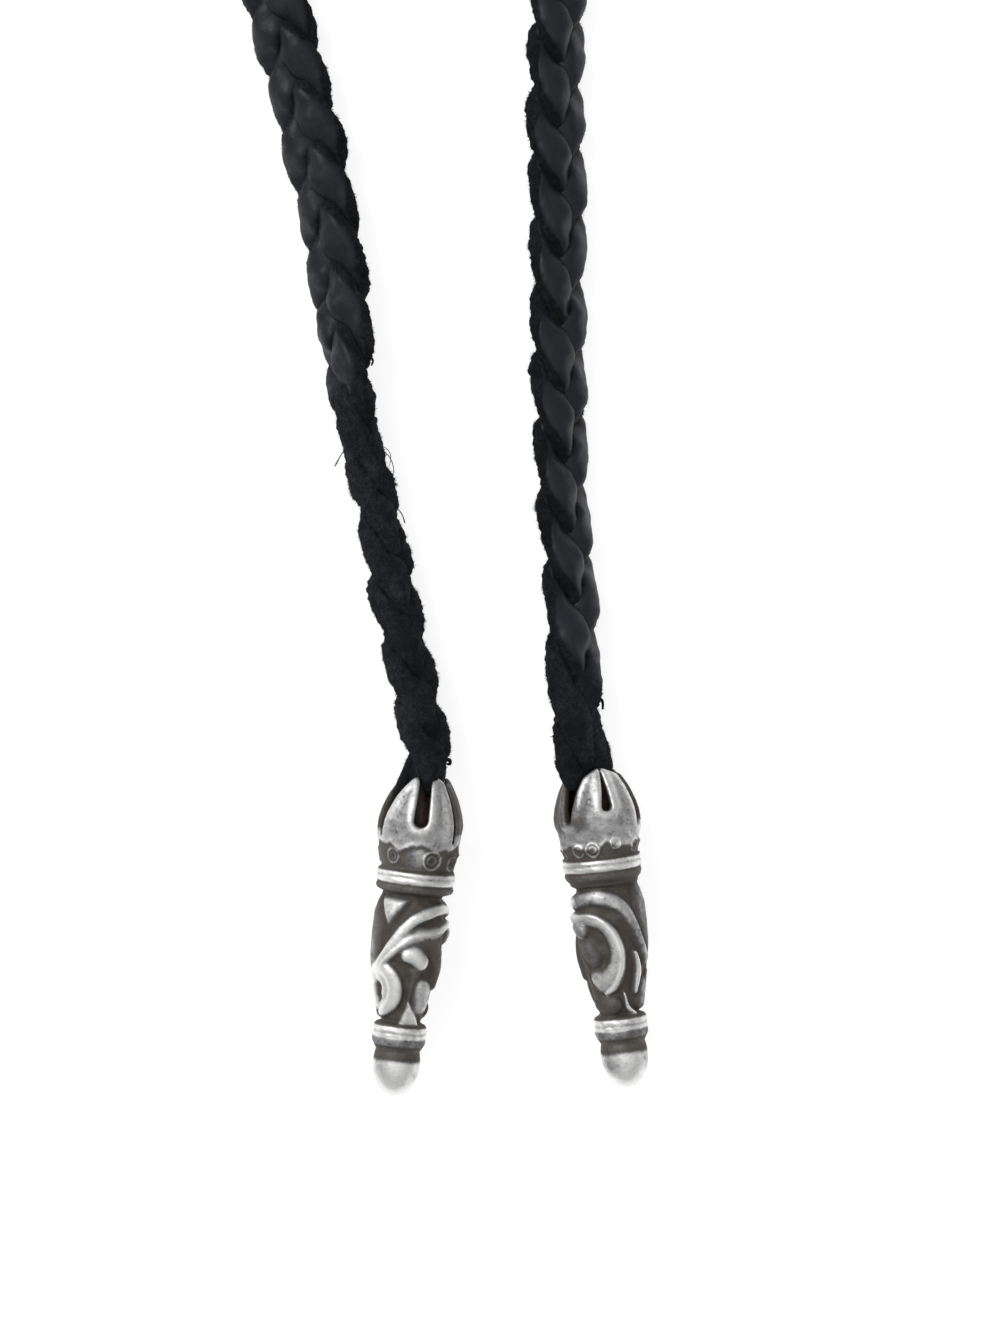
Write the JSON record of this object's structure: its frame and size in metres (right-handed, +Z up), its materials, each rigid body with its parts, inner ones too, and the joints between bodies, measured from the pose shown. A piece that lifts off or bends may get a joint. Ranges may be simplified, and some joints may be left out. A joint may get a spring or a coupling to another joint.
{
  "type": "braided leather necklace",
  "caption": "Open lariat necklace: one long black leather plait with a cast silver petal-mouthed tip on each end.",
  "frame": {"origin": "on the table, under the middle of the box round the whole necklace as it lies", "axes": "+Y from the tips towards the far end of the loop, +Z up from the table"},
  "size_m": [0.1385, 0.4034, 0.0093],
  "materials": {
    "leather": "matt black, smooth grain on one side and napped on the other",
    "silver": "cast silver, polished on its high places and darkened in its recesses"
  },
  "bodies": {
    "root": {"braid": "leather", "left_tip": "silver", "right_tip": "silver"}
  },
  "joints": []
}
